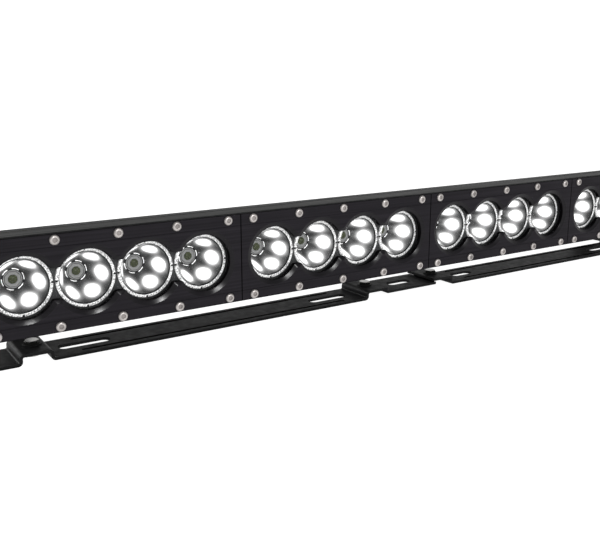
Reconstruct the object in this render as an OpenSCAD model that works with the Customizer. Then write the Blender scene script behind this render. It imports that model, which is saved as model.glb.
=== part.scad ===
// Modular LED light bar on a slotted mounting strap with two tilting rear feet.
// Millimetres. X runs along the bar, -Y is the lit front, +Z is up.
// The origin is under the middle of the assembly, on the surface it stands on.

/* [Bar] */
// Length of one four-lamp module
module_len = 203.2; // [200:0.2:210]
// Height of the lit face
face_h = 71.8; // [71:0.2:74]
// How far the lamp row sits below the middle of the face
row_drop = 0.3; // [0:0.1:1.5]
// Height of the lamp row above the standing surface
row_z = 64.2; // [62:0.1:70]
// Overall depth of the fins behind the face
fin_depth = 78; // [76:1:80]
// Wall thickness of each end cap
end_cap_t = 7; // [5:0.5:9]

/* [Optics] */
// Distance between neighbouring lamps of a module
lamp_pitch = 46.2; // [45.5:0.1:47]
// Outer radius of each reflector rim
rim_r = 22.2; // [21.5:0.1:22.4]
// Inner radius of each reflector rim
rim_in_r = 19.7; // [18.5:0.1:20]
// Radius of the hole at the bottom of each reflector
cup_hole_r = 8.2; // [7.5:0.1:9]
// Radius of each face opening at the front edge of its chamfer
opening_front_r = 26.2; // [25:0.1:27]
// Radius of each face opening behind the chamfer
opening_r = 22.6; // [22.4:0.1:23.6]
// Depth of the chamfer round each face opening
chamfer_d = 1.6; // [1:0.1:2.5]
// Half height of the neck between two lamp openings
neck_half = 11.5; // [10:0.5:13]

/* [Face screws] */
// Height of the screw rows above and below the middle of the face
screw_row = 31.6; // [31:0.1:32]
// Inset of the outer screws from each end of a module
screw_inset = 11.4; // [10:0.1:13]
// Distance from the middle screw to its neighbours
screw_step = 46.2; // [44:0.1:47]
// Radius of the button heads
screw_head_r = 3.7; // [3.4:0.1:3.9]

/* [Strap] */
// Sheet thickness of the strap
sheet_t = 2.5; // [2:0.1:2.8]
// Width of the strap from front to back
strap_w = 40.8; // [39:0.1:42]
// Distance from the face back to the front edge of the strap
strap_y = 23.3; // [22:0.1:25]
// Overall length of the strap
strap_len = 860; // [850:1:880]
// Rise of the raised pads
pad_rise = 6.6; // [6.4:0.1:7]
// Distance from the middle to the outer foot pads
foot_pad_x = 362.1; // [355:0.1:366]
// Length of a foot pad
foot_pad_len = 25.6; // [24:0.1:26]
// Inner end of the two joining pads, measured from the middle
join_pad_in = 30.1; // [28:0.1:32]
// Outer end of the two joining pads, measured from the middle
join_pad_out = 55.6; // [54:0.1:58]
// Width of the fixing slots
slot_w = 11; // [9:0.5:13]
// Length of the fixing slots in the long plates
slot_len = 42; // [38:0.5:43]
// Length of the short fixing slots
short_slot_len = 28; // [24:0.5:32]
// Width of the pressed stiffening beads
bead_w = 3.4; // [3:0.2:5]

/* [Tilt pivot] */
// Distance from the face back to the pivot axis
pivot_y = 95; // [94:0.5:97]
// Height of the pivot axis relative to the lamp row
pivot_dz = -14; // [-15:0.5:-13]
// Radius of the pivot bolt
pivot_bolt_r = 4; // [3.5:0.5:4]

/* [Hidden] */
$fn = 64;
eps = 0.02;

// number of modules and lamps in each
modules = 4;
lamps = 4;
bar_len = modules * module_len;
bar_end = bar_len / 2;
top_z = face_h / 2 + row_drop;
bottom_z = top_z - face_h;

// stations measured back from the front of the face
bezel_t = 5.2;
front_y = 6;
lens_t = 2;
rim_front_y = 8.3;
rim_t = 1.5;
holder_y = 10;
holder_t = 2;
board_front_y = 33;
board_t = 1.6;
web_y = board_front_y + board_t;
web_back_y = 40;
chamber_back_y = 60;
rail_back_y = 78;
foot_back_y = pivot_y + 12;
screw_head_h = 2.2;
screw_sink = 0.6;
seam_gap = 0.3;

// half heights of the front chamber, its wider rear part, the lenses and the light boards
chamber_half = 27.2;
rear_chamber_half = 31;
lens_half = 28.4;
board_half = 24;
lens_gap = 0.4;

// radii of the face screws and of their holes in the bezel, and the depth they are tapped to
face_screw_r = 1.95;
face_hole_r = 2.2;
face_screw_end = front_y + 13;

// the face stands here so that the whole depth is centred on the origin
y_face = -(foot_back_y - (screw_head_h - screw_sink)) / 2;
pivot_abs = [y_face + pivot_y, row_z + pivot_dz];

function module_x(m) = (m - (modules - 1) / 2) * module_len;
function lamp_x(k) = (k - (lamps - 1) / 2) * lamp_pitch;
function screw_xs() = [-(module_len / 2 - screw_inset), -screw_step, 0, screw_step,
    module_len / 2 - screw_inset];
function sides() = [-1, 1];
function screw_z(s) = row_drop + s * screw_row;

// ---------- placing helpers ----------

// moves children to the lamp row with y measured from the face
module on_row() translate([0, y_face, row_z]) children();

// extrudes a (y, z) outline along x between two stations
module along_x(x0, x1) translate([x0, 0, 0]) rotate([90, 0, 90]) linear_extrude(x1 - x0) children();

// a round bar that runs back from y0 to y1
module rod_y(x, z, y0, y1, r, n = $fn)
    translate([x, y0, z]) rotate([-90, 0, 0]) cylinder(h = y1 - y0, r = r, $fn = n);

// a round bar that runs along x from x0 to x1
module rod_x(x0, x1, y, z, r, n = $fn)
    translate([x0, y, z]) rotate([0, 90, 0]) cylinder(h = x1 - x0, r = r, $fn = n);

// turns a (radius, depth) outline about the axis of a lamp or a front screw
module turned_y(x, z) translate([x, 0, z]) rotate([-90, 0, 0]) rotate_extrude() children();

// a block given by its two corners
module block(a, b) translate(a) cube(b - a);

// a flat outline with rounded ends along x
module slot_outline(len, w) {
    square([len - w, w], center = true);
    for (s = sides()) translate([s * (len - w) / 2, 0]) circle(d = w);
}

// ---------- housing ----------

// screw ports for the end caps, as [y, z] pairs
port_positions = [[28, 28.8], [28, -27.4], [46, 27], [46, -27]];
port_r = 1.7;
port_boss_r = 3.8;

fin_t = 2.2;
fin_step = 6;
fin_top = 30;
fin_span = 36;
function fin_tip(z) = web_back_y + (fin_depth - web_back_y) * sqrt(1 - pow(z / fin_span, 2));

module housing_outline() {
    difference() {
        union() {
            polygon([[front_y, bottom_z], [34, bottom_z], [web_back_y, bottom_z + 2.2],
                [web_back_y + 3, bottom_z + 5], [web_back_y + 3, top_z - 5],
                [web_back_y, top_z - 2.2], [34, top_z], [front_y, top_z]]);
            translate([web_back_y - eps, -15]) square([chamber_back_y - web_back_y + eps, 32]);
            for (i = [0:5]) fin(fin_top - fin_step * i);
            fin(-fin_top);
            for (p = port_positions) translate(p) circle(r = port_boss_r);
        }
        // front chamber, its wider rear part and the lens rebate
        translate([front_y - 1, -chamber_half]) square([17, 2 * chamber_half]);
        difference() {
            translate([20, -rear_chamber_half]) square([web_y - 20, 2 * rear_chamber_half]);
            for (p = port_positions) translate(p) circle(r = port_boss_r);
        }
        translate([front_y - 1, -lens_half - lens_gap])
            square([1 + lens_t + 0.2, 2 * (lens_half + lens_gap)]);
        // driver chamber
        translate([web_back_y, -12.5]) square([chamber_back_y - web_back_y - 2.5, 27]);
        // screw ports
        for (p = port_positions) translate(p) circle(r = port_r);
        // shadow groove round the top and bottom
        translate([24, top_z - 0.6]) square([0.9, 1]);
        translate([24, bottom_z - 0.4]) square([0.9, 1]);
    }
}

module fin(z) {
    tip = fin_tip(z);
    translate([web_back_y, z - fin_t / 2]) square([tip - web_back_y - fin_t / 2, fin_t]);
    translate([tip - fin_t / 2, z]) circle(d = fin_t);
}

gland_x = 300;
vent_x = -300;
service_z = 6;
service_r = 5.9;
cable_r = 3.6;

module housing() color("#2b2b2d") on_row() difference() {
    along_x(-bar_end, bar_end) housing_outline();
    // tapped holes for the face screws
    for (m = [0:modules - 1], x = screw_xs(), s = sides())
        rod_y(module_x(m) + x, screw_z(s), front_y - 1, face_screw_end + 2, 2, 24);
    // clear round for the cable gland and the vent, with their bores
    for (x = [gland_x, vent_x]) {
        rod_y(x, service_z, chamber_back_y, fin_depth + 2, 13);
        rod_y(x, service_z, chamber_back_y - 4, chamber_back_y + 1, service_r + 0.2);
    }
    // lead holes through the web, one for each module
    for (m = [0:modules - 1]) rod_y(module_x(m), 0, web_y - 1, web_back_y + 1, 3.5);
    // holes for the rail screws
    for (x = rail_screw_xs) rod_y(x, rail_screw_z, chamber_back_y - 4, chamber_back_y + 1, 1.9, 24);
}

// ---------- end caps ----------

cap_arc_steps = 12;

// outline of the cap: the face, the flat top and bottom, then the curve of the fin tips
module cap_outline(grow = 0) {
    z0 = 31;
    curve = [for (i = [0:cap_arc_steps]) let (z = z0 - 2 * z0 * i / cap_arc_steps)
        [fin_tip(z) + grow, z]];
    polygon(concat([[0, bottom_z + 1], [1, bottom_z], [36, bottom_z]],
        [for (i = [cap_arc_steps:-1:0]) curve[i]],
        [[36, top_z], [1, top_z], [0, top_z - 1]]));
}

module end_cap(side) color("#232325") on_row() difference() {
    x0 = bar_end + 1;
    union() {
        along_x(side > 0 ? x0 : -x0 - end_cap_t + 1.5, side > 0 ? x0 + end_cap_t - 1.5 : -x0)
            cap_outline(1);
        // raised inner panel of the cap
        along_x(side > 0 ? x0 + 1 : -x0 - end_cap_t, side > 0 ? x0 + end_cap_t : -x0 - 1)
            cap_panel();
    }
    for (p = port_positions) {
        rod_x(side * (bar_end + end_cap_t / 2) - 8, side * (bar_end + end_cap_t / 2) + 8,
            p[0], p[1], 2.3);
        rod_x(side > 0 ? x0 + end_cap_t - 2.6 : -x0 - end_cap_t - 1,
            side > 0 ? x0 + end_cap_t + 1 : -x0 - end_cap_t + 2.6, p[0], p[1], 4.4);
    }
}

// smaller panel that stands 1.5 mm proud of the cap
module cap_panel() polygon([[6, bottom_z + 5], [34, bottom_z + 4], [60, -22], [71, -12], [73, 0],
    [71, 12], [60, 23], [34, top_z - 4], [6, top_z - 5]]);

module end_cap_left() end_cap(-1);
module end_cap_right() end_cap(1);

module end_gasket(side) color("#101010") on_row()
    along_x(side > 0 ? bar_end : -bar_end - 1, side > 0 ? bar_end + 1 : -bar_end) difference() {
        polygon([[front_y + 1, bottom_z + 1], [34, bottom_z + 1], [chamber_back_y - 1, -20],
            [chamber_back_y + 1, -14], [chamber_back_y + 1, 16], [chamber_back_y - 1, 22],
            [34, top_z - 1], [front_y + 1, top_z - 1]]);
        translate([front_y + 5, -23]) square([22, 46]);
        translate([web_back_y + 3, -10]) square([12, 22]);
        for (p = port_positions) translate(p) circle(r = 2.3);
    }

module end_gasket_left() end_gasket(-1);
module end_gasket_right() end_gasket(1);

module end_cap_screws() color("#3a3a3c") on_row() for (s = sides(), p = port_positions) {
    seat = bar_end + 1 + end_cap_t - 2.6;
    difference() {
        union() {
            rod_x(s > 0 ? bar_end - 10 : -seat - 1, s > 0 ? seat + 1 : -bar_end + 10,
                p[0], p[1], 1.65, 24);
            rod_x(s > 0 ? seat : -seat - 2.4, s > 0 ? seat + 2.4 : -seat, p[0], p[1], 3.8, 32);
        }
        rod_x(s > 0 ? seat + 0.9 : -seat - 3, s > 0 ? seat + 3 : -seat - 0.9, p[0], p[1], 1.45, 6);
    }
}

// ---------- face ----------

// chamfered cut for one lamp opening
module opening_cut(x) turned_y(x, 0) polygon([[0, -1], [opening_front_r + 1.7, -1],
    [opening_front_r, 0], [opening_r, chamfer_d], [opening_r, bezel_t + 1], [0, bezel_t + 1]]);

// chamfered neck from one lamp opening to the next
module neck_cut(x) {
    wide = neck_half + 3;
    along_x(x, x + lamp_pitch) polygon([[-1, -wide - 1.9], [0, -wide], [chamfer_d, -neck_half],
        [bezel_t + 1, -neck_half], [bezel_t + 1, neck_half], [chamfer_d, neck_half],
        [0, wide], [-1, wide + 1.9]]);
}

line_z = 27;
line_d = 0.3;

module bezel(m) color("#1b1a1d") on_row() translate([module_x(m), 0, 0]) difference() {
    half = module_len / 2 - seam_gap / 2;
    union() {
        block([-half, 0.4, bottom_z], [half, bezel_t, top_z]);
        block([-half, 0, bottom_z + 0.4], [half, 0.4 + eps, top_z - 0.4]);
    }
    for (k = [0:lamps - 1]) opening_cut(lamp_x(k));
    for (k = [0:lamps - 2]) neck_cut(lamp_x(k));
    // fine lines along the face, above and below the openings
    for (s = sides()) along_x(-half - 1, half + 1)
        polygon([[-1, s * line_z - 1.3], [line_d, s * line_z], [-1, s * line_z + 1.3]]);
    for (x = screw_xs(), s = sides()) {
        rod_y(x, screw_z(s), -1, bezel_t + 1, face_hole_r, 32);
        rod_y(x, screw_z(s), -1, screw_sink, screw_head_r + 0.15);
    }
}

module bezel_1() bezel(0);
module bezel_2() bezel(1);
module bezel_3() bezel(2);
module bezel_4() bezel(3);

module bezel_gaskets() color("#0c0c0c") on_row() for (m = [0:modules - 1])
    translate([module_x(m), 0, 0]) difference() {
        half = module_len / 2 - seam_gap / 2;
        block([-half, bezel_t, bottom_z + 0.5], [half, front_y, top_z - 0.5]);
        block([-half + 5, bezel_t - 1, -29], [half - 5, front_y + 1, 29]);
        for (x = screw_xs(), s = sides()) rod_y(x, screw_z(s), 0, front_y + 1, face_hole_r, 24);
    }

module face_screw(x, z) difference() {
    union() {
        turned_y(x, z) polygon(concat([[0, screw_sink], [screw_head_r, screw_sink]],
            [for (a = [0:15:75]) [1.7 + (screw_head_r - 1.7) * cos(a),
                screw_sink - 0.7 - (screw_head_h - 0.7) * sin(a)]],
            [[0, screw_sink - screw_head_h]]));
        rod_y(x, z, screw_sink - 0.1, face_screw_end, face_screw_r, 24);
    }
    rod_y(x, z, screw_sink - screw_head_h - 1, screw_sink - screw_head_h + 1.4, 1.45, 6);
}

module bezel_screws() color("#b9b7b4") on_row()
    for (m = [0:modules - 1], x = screw_xs(), s = sides()) face_screw(module_x(m) + x, screw_z(s));

module lens(m) color("#dfe6ea", 0.25) on_row() translate([module_x(m), 0, 0])
    block([-module_len / 2 + 1, front_y, -lens_half], [module_len / 2 - 1, front_y + lens_t, lens_half]);

module lens_1() lens(0);
module lens_2() lens(1);
module lens_3() lens(2);
module lens_4() lens(3);

// ---------- optics ----------

// parabola of the cup: the squared radius grows evenly with the height above its hole
cup_steps = 14;
cup_top_y = 9.6;
cup_bottom_y = 32.0;
cup_t = 0.9;
cup_rim_r = 19.2;
pit_ring_r = rim_r - 0.5;
function cup_r(i) = sqrt(pow(cup_rim_r, 2)
    + (pow(cup_hole_r, 2) - pow(cup_rim_r, 2)) * i / cup_steps);
function cup_y(i) = cup_top_y + (cup_bottom_y - cup_top_y) * i / cup_steps;

module reflector_cup(x) difference() {
    turned_y(x, 0) polygon(concat(
        [[rim_in_r, rim_front_y], [rim_r - 0.3, rim_front_y], [rim_r, rim_front_y + 0.3],
            [rim_r, rim_front_y + rim_t], [cup_rim_r + 1.4, rim_front_y + rim_t],
            [cup_rim_r + cup_t, rim_front_y + rim_t + 0.4]],
        [for (i = [1:cup_steps]) [cup_r(i) + cup_t, cup_y(i)]],
        [for (i = [cup_steps:-1:0]) [cup_r(i), cup_y(i)]],
        [[cup_rim_r, rim_front_y + 0.5], [rim_in_r, rim_front_y + 0.5]]));
    // round pits at the quarter points of the rim
    for (a = [0:90:270]) rod_y(x + pit_ring_r * cos(a), pit_ring_r * sin(a),
        rim_front_y - 1, rim_front_y + 0.8, 0.9, 20);
}

module reflectors(m) color("#e4e6e8") on_row() translate([module_x(m), 0, 0])
    for (k = [0:lamps - 1]) reflector_cup(lamp_x(k));

module reflectors_1() reflectors(0);
module reflectors_2() reflectors(1);
module reflectors_3() reflectors(2);
module reflectors_4() reflectors(3);

holder_half = 26.6;
holder_hole_r = 20.5;
pillar_r = 2.6;

module optic_holder(m) color("#2a2a2c") on_row() translate([module_x(m), 0, 0]) difference() {
    union() {
        block([-module_len / 2 + 2, holder_y, -holder_half],
            [module_len / 2 - 2, holder_y + holder_t, holder_half]);
        for (k = [0:lamps - 2], s = sides())
            rod_y(lamp_x(k) + lamp_pitch / 2, s * 20.5, holder_y, board_front_y, pillar_r, 32);
    }
    for (k = [0:lamps - 1])
        rod_y(lamp_x(k), 0, holder_y - 1, holder_y + holder_t + 1, holder_hole_r);
}

module optic_holder_1() optic_holder(0);
module optic_holder_2() optic_holder(1);
module optic_holder_3() optic_holder(2);
module optic_holder_4() optic_holder(3);

module led_board(m) color("#1c1c1e") on_row() translate([module_x(m), 0, 0]) difference() {
    block([-module_len / 2 + 3, board_front_y, -board_half], [module_len / 2 - 3, web_y, board_half]);
    for (x = board_screw_xs, s = sides()) rod_y(x, s * board_screw_z, 30, 36, 1.6, 24);
}

module led_board_1() led_board(0);
module led_board_2() led_board(1);
module led_board_3() led_board(2);
module led_board_4() led_board(3);

board_screw_xs = [-(module_len / 2 - 8), 0, module_len / 2 - 8];
board_screw_z = 13;
board_screw_r = 1.45;

module led_board_screws() color("#a8a8a8") on_row()
    for (m = [0:modules - 1], x = board_screw_xs, s = sides()) {
        rod_y(module_x(m) + x, s * board_screw_z, board_front_y - 1.8, board_front_y, 2.7, 32);
        rod_y(module_x(m) + x, s * board_screw_z, board_front_y - 0.5, web_y, board_screw_r, 24);
    }

star_r = 6.6;
body_r = 3.1;
chip_r = 2.2;

// star base, eight-sided ceramic body and chip of one emitter
module emitter(x) {
    rod_y(x, 0, board_front_y - 0.7, board_front_y, star_r);
    rod_y(x, 0, board_front_y - 1.2, board_front_y - 0.6, body_r, 8);
    rod_y(x, 0, board_front_y - 1.5, board_front_y - 1.1, chip_r, 32);
}

module led_emitters() color("#c9cbc4") on_row()
    for (m = [0:modules - 1], k = [0:lamps - 1]) emitter(module_x(m) + lamp_x(k));

// ---------- electronics ----------

driver_len = 300;
driver_x = 160;
driver_y = 45;
driver_front_y = driver_y + board_t;

module driver_board(side) color("#2f6b3a") on_row() translate([side * driver_x, 0, 0])
    block([-driver_len / 2, driver_y, -11.5], [driver_len / 2, driver_front_y, 13.5]);

module driver_board_left() driver_board(-1);
module driver_board_right() driver_board(1);

module driver_components() color("#555555") on_row() for (side = sides(), m = [0, 1]) {
    x = side * (85 + 150 * m);
    y = driver_front_y;
    // choke, capacitor, power transistor and connector of each channel
    rod_y(x - 40, 1, y, y + 7, 8);
    rod_y(x - 15, -3, y, y + 8.5, 4);
    block([x, y, -6], [x + 10, y + 4.5, 8]);
    block([x + 22, y, -4], [x + 34, y + 7, 6]);
}

// a pair of leads from each light board to its driver
module led_leads() color("#8c1f1f") on_row() for (m = [0:modules - 1], s = sides())
    rod_y(module_x(m) + s * 1.6, 0, web_y, driver_y, 0.9, 24);

// ---------- cable gland and vent ----------

module cable_gland() color("#222224") on_row() difference() {
    union() {
        rod_y(gland_x, service_z, chamber_back_y - 6, chamber_back_y, service_r);
        rod_y(gland_x, service_z, chamber_back_y, chamber_back_y + 4.5, 9.5, 6);
        rod_y(gland_x, service_z, chamber_back_y + 4.5, chamber_back_y + 13, 6.9);
    }
    rod_y(gland_x, service_z, chamber_back_y - 8, chamber_back_y + 20, cable_r);
}

module gland_cap() color("#1c1c1e") on_row() difference() {
    union() {
        rod_y(gland_x, service_z, chamber_back_y + 5, chamber_back_y + 15, 9, 6);
        rod_y(gland_x, service_z, chamber_back_y + 15, chamber_back_y + 19, 7.4);
    }
    rod_y(gland_x, service_z, chamber_back_y + 4, chamber_back_y + 13.3, 7.1);
    rod_y(gland_x, service_z, chamber_back_y + 4, chamber_back_y + 20, cable_r);
}

module vent_plug() color("#262628") on_row() {
    rod_y(vent_x, service_z, chamber_back_y - 4, chamber_back_y, service_r);
    rod_y(vent_x, service_z, chamber_back_y, chamber_back_y + 3, 9, 6);
    rod_y(vent_x, service_z, chamber_back_y + 3, chamber_back_y + 8, 7.8);
}

// ---------- rear rail and pivot blocks ----------

rail_half = bar_end - 6;
rail_screw_xs = [for (i = [-3:3]) i * 120];
rail_screw_z = pivot_dz + 4.5;
rail_h = 22;
rail_front_y = chamber_back_y + 0.1;
rail_wall = 2.5;
rail_back_wall = 3;
foot_xs = [-foot_pad_x, foot_pad_x];
block_screw_dx = 15;
block_screw_r = 2.5;
rivet_r = 3.4;
flange_r = 4.6;

// closed box section across the back, with access holes for the screws that hold it
module mount_rail() color("#2d2d2f") on_row() difference() {
    along_x(-rail_half, rail_half) difference() {
        translate([rail_front_y, pivot_dz - rail_h / 2]) square([rail_back_y - rail_front_y, rail_h]);
        translate([rail_front_y + rail_wall, pivot_dz - rail_h / 2 + rail_wall])
            square([rail_back_y - rail_back_wall - rail_front_y - rail_wall, rail_h - 2 * rail_wall]);
    }
    for (x = rail_screw_xs) {
        rod_y(x, rail_screw_z, rail_front_y - 1, rail_front_y + rail_wall + 1, 2.1, 32);
        rod_y(x, rail_screw_z, rail_back_y - rail_back_wall - 1, rail_back_y + 1, 3.9, 32);
    }
    for (fx = foot_xs, s = sides()) {
        rod_y(fx + s * block_screw_dx, pivot_dz, rail_back_y - rail_back_wall - 1, rail_back_y + 1,
            rivet_r + 0.02, 32);
        rod_y(fx + s * block_screw_dx, pivot_dz, rail_back_y - 0.8, rail_back_y + 1, flange_r, 32);
    }
}

module rail_screws() color("#9a9a9a") on_row() for (x = rail_screw_xs) difference() {
    seat = rail_front_y + rail_wall;
    union() {
        rod_y(x, rail_screw_z, chamber_back_y - 3.4, seat + 0.1, 1.8, 24);
        rod_y(x, rail_screw_z, seat, seat + 2.2, 3.4, 32);
    }
    rod_y(x, rail_screw_z, seat + 1, seat + 3, 1.3, 6);
}

// flanged rivet nuts set flush in the back wall of the rail
module rivet_nuts() color("#8f8f92") on_row() for (fx = foot_xs, s = sides()) difference() {
    x = fx + s * block_screw_dx;
    union() {
        rod_y(x, pivot_dz, rail_back_y - 9, rail_back_y - 0.1, rivet_r, 32);
        rod_y(x, pivot_dz, rail_back_y - 0.8, rail_back_y - 0.05, flange_r - 0.1, 32);
    }
    rod_y(x, pivot_dz, rail_back_y - 12, rail_back_y + 1, block_screw_r + 0.02, 32);
}

lug_half = 4.7;
lug_r = 8;
block_t = 5;
bush_r = pivot_bolt_r + 1.5;

module pivot_block(side) color("#29292b") on_row() translate([side * foot_pad_x, 0, pivot_dz])
    difference() {
        union() {
            block([-22, rail_back_y, -9], [22, rail_back_y + block_t, 12]);
            block([-lug_half, rail_back_y + 1, -7.6], [lug_half, pivot_y, 7.6]);
            rod_x(-lug_half, lug_half, pivot_y, 0, lug_r);
        }
        rod_x(-20, 20, pivot_y, 0, bush_r);
        for (s = sides())
            rod_y(s * block_screw_dx, 0, rail_back_y - 1, rail_back_y + 8, block_screw_r + 0.25, 32);
    }

module pivot_block_left() pivot_block(-1);
module pivot_block_right() pivot_block(1);

module pivot_block_screws() color("#a9a9ab") on_row() for (fx = foot_xs, s = sides())
    difference() {
        x = fx + s * block_screw_dx;
        seat = rail_back_y + block_t;
        union() {
            rod_y(x, pivot_dz, rail_back_y - 7, seat + 0.1, block_screw_r, 24);
            rod_y(x, pivot_dz, seat, seat + 2.7, 4.6, 32);
        }
        rod_y(x, pivot_dz, seat + 1.1, seat + 4, 1.75, 6);
    }

module pivot_bush(side) color("#b59a5a") on_row()
    translate([side * foot_pad_x, 0, pivot_dz]) difference() {
        rod_x(-lug_half - 0.2, lug_half + 0.2, pivot_y, 0, bush_r);
        rod_x(-lug_half - 1, lug_half + 1, pivot_y, 0, pivot_bolt_r + 0.1);
    }

module pivot_bush_left() pivot_bush(-1);
module pivot_bush_right() pivot_bush(1);

// ---------- strap ----------

bend_r = 2.4;
bend_steps = 5;

// unit vector between two points
function towards(a, b) = (b - a) / norm(b - a);

// points of one bend of the sheet, offset by d to the left of the path
function bend_arc(a, p, b, d) =
    let (u = towards(p, a), v = towards(p, b), c = p + bend_r * (u + v),
        turn = sign(cross(-u, v)), r = bend_r - d * turn)
    [for (i = [0:bend_steps]) let (t = 90 * i / bend_steps) c - r * (v * cos(t) + u * sin(t))];

// one face of the sheet along a path of square corners
function sheet_side(path, d) = concat(
    [path[0] + d * left_of(path[0], path[1])],
    [for (i = [1:len(path) - 2]) for (q = bend_arc(path[i - 1], path[i], path[i + 1], d)) q],
    [path[len(path) - 1] + d * left_of(path[len(path) - 2], path[len(path) - 1])]);
function left_of(a, b) = let (u = towards(a, b)) [-u[1], u[0]];
function reversed(list) = [for (i = [len(list) - 1:-1:0]) list[i]];

// a bent sheet: (x, z) centre path, swept over the width of the strap
module bent_sheet(path) translate([0, y_face + strap_y + strap_w, 0]) rotate([90, 0, 0])
    linear_extrude(strap_w)
        polygon(concat(sheet_side(path, sheet_t / 2), reversed(sheet_side(path, -sheet_t / 2))));

strap_mid_y = y_face + strap_y + strap_w / 2;
mid_z = sheet_t / 2;
pad_mid_z = pad_rise + sheet_t / 2;
bolt_inset = 11.2;
pad_in_x = foot_pad_x - bolt_inset;
pad_out_x = pad_in_x + foot_pad_len;
long_mid_x = (pad_in_x + join_pad_out) / 2;
end_slot_x = (strap_len / 2 + pad_out_x) / 2 + 1;
near_slot_inset = 8;
near_slot_x = pad_in_x - near_slot_inset - slot_len / 2;
far_slot_inset = 32;
far_slot_x = join_pad_out + far_slot_inset;
bead_inset = 22.25;
bead_len = pad_in_x - join_pad_out - 2 * bead_inset;
bead_dy = 14.6;
bead_d = 1.1;
bolt_hole_r = 3.3;

module slot_cut(x, len, z0 = -1, z1 = 12) translate([x, strap_mid_y, z0]) linear_extrude(z1 - z0)
    slot_outline(len, slot_w);

// left half of the strap; the right half is its mirror image but for the length of one slot
module strap_half(far_slot_len) difference() {
    half = sheet_t / 2;
    bent_sheet([[-strap_len / 2, mid_z], [-pad_out_x + half, mid_z], [-pad_out_x + half, pad_mid_z],
        [-pad_in_x - half, pad_mid_z], [-pad_in_x - half, mid_z], [-join_pad_out + half, mid_z],
        [-join_pad_out + half, pad_mid_z], [-join_pad_in, pad_mid_z]]);
    slot_cut(-end_slot_x, short_slot_len);
    slot_cut(-near_slot_x, slot_len);
    slot_cut(-far_slot_x, far_slot_len);
    for (s = sides()) translate([-long_mid_x, strap_mid_y + s * bead_dy, sheet_t - bead_d])
        linear_extrude(3) slot_outline(bead_len, bead_w);
    for (x = [-foot_pad_x, -join_bolt_x]) translate([x, strap_mid_y, 0])
        cylinder(h = 20, r = bolt_hole_r);
}

join_bolt_x = (join_pad_in + join_pad_out) / 2;

module strap_left() color("#2f2f31") strap_half(slot_len);
module strap_right() color("#2f2f31") mirror([1, 0, 0]) strap_half(short_slot_len);

// joiner: a lower plate between the joining pads, with narrow tabs that step up under them
joiner_top = pad_rise - 0.05;
joiner_drop = 1.05;
joiner_left_x = 29.9;
joiner_right_x = 33;
tab_w = 26;
tab_x = join_pad_out - sheet_t - 1.8;

module joiner_tabs() translate([0, strap_mid_y + tab_w / 2, joiner_top]) rotate([90, 0, 0])
    linear_extrude(tab_w) polygon(concat(
        [[-tab_x, 0], [-joiner_left_x - 3, 0], [-joiner_left_x + 1, -joiner_drop],
            [joiner_right_x - 1, -joiner_drop], [joiner_right_x + 3, 0], [tab_x, 0]],
        [[tab_x, -sheet_t], [joiner_right_x + 3, -sheet_t],
            [joiner_right_x - 1, -sheet_t - joiner_drop], [-joiner_left_x + 1, -sheet_t - joiner_drop],
            [-joiner_left_x - 3, -sheet_t], [-tab_x, -sheet_t]]));

module strap_joiner() color("#303032") difference() {
    union() {
        joiner_tabs();
        translate([-joiner_left_x, strap_mid_y - strap_w / 2, joiner_top - joiner_drop - sheet_t])
            cube([joiner_left_x + joiner_right_x, strap_w, sheet_t]);
    }
    slot_cut(0, short_slot_len);
    for (s = sides()) translate([s * join_bolt_x, strap_mid_y, 0]) cylinder(h = 20, r = bolt_hole_r);
}

pad_top = pad_rise + sheet_t;
washer_t = 0.8;
washer_r = 7;
head_t = 2.8;
head_r = 5.77;
head_rim = 0.6;
bolt_r = 2.9;
bolt_len = 8.8;
nut_t = 3.1;
nut_r = 5.5;
strap_bolt_xs = [-foot_pad_x, -join_bolt_x, join_bolt_x, foot_pad_x];

module strap_bolts() color("#c2c4c6") for (x = strap_bolt_xs)
    translate([x, strap_mid_y, pad_top + washer_t]) difference() {
        union() {
            cylinder(h = head_t, r = head_r, $fn = 6);
            translate([0, 0, -bolt_len]) cylinder(h = bolt_len + 0.1, r = bolt_r);
        }
        // the corners are turned down round the top of the head
        difference() {
            translate([0, 0, head_t - head_rim + 0.1]) cylinder(h = 2, r = head_r + 2);
            translate([0, 0, head_t - head_rim]) cylinder(h = 3, r = 4.9);
        }
    }

module strap_washers() color("#1f1f20") for (x = strap_bolt_xs)
    translate([x, strap_mid_y, pad_top]) difference() {
        cylinder(h = washer_t, r = washer_r);
        translate([0, 0, -1]) cylinder(h = 4, r = bolt_r + 0.3);
    }

// round clinch nuts under the foot legs and the joiner tabs
module clinch_nuts() color("#9c9c9e") for (x = strap_bolt_xs) {
    top = abs(x) > 200 ? pad_rise - leg_t : joiner_top - sheet_t;
    translate([x, strap_mid_y, top - nut_t]) difference() {
        cylinder(h = nut_t, r = nut_r);
        translate([0, 0, -1]) cylinder(h = 6, r = bolt_r + 0.05);
    }
}

// ---------- feet ----------

leg_t = 3;
leg_half = 8;
ear_t = 3;
ear_r = 8.5;
ear_bore_r = pivot_bolt_r + 0.15;
web_top_z = 50;

// side outline of a foot ear as (y, z) with y from the face and z from the standing surface
module ear_outline() {
    pz = row_z + pivot_dz;
    polygon([[72, pad_rise - leg_t], [foot_back_y, pad_rise - leg_t], [foot_back_y, pz + 4],
        [pivot_y + 6.5, pz + 6], [pivot_y - ear_r * 0.8, pz - ear_r * 0.6], [82, 16]]);
    translate([pivot_y, pz]) circle(r = ear_r);
}

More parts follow.
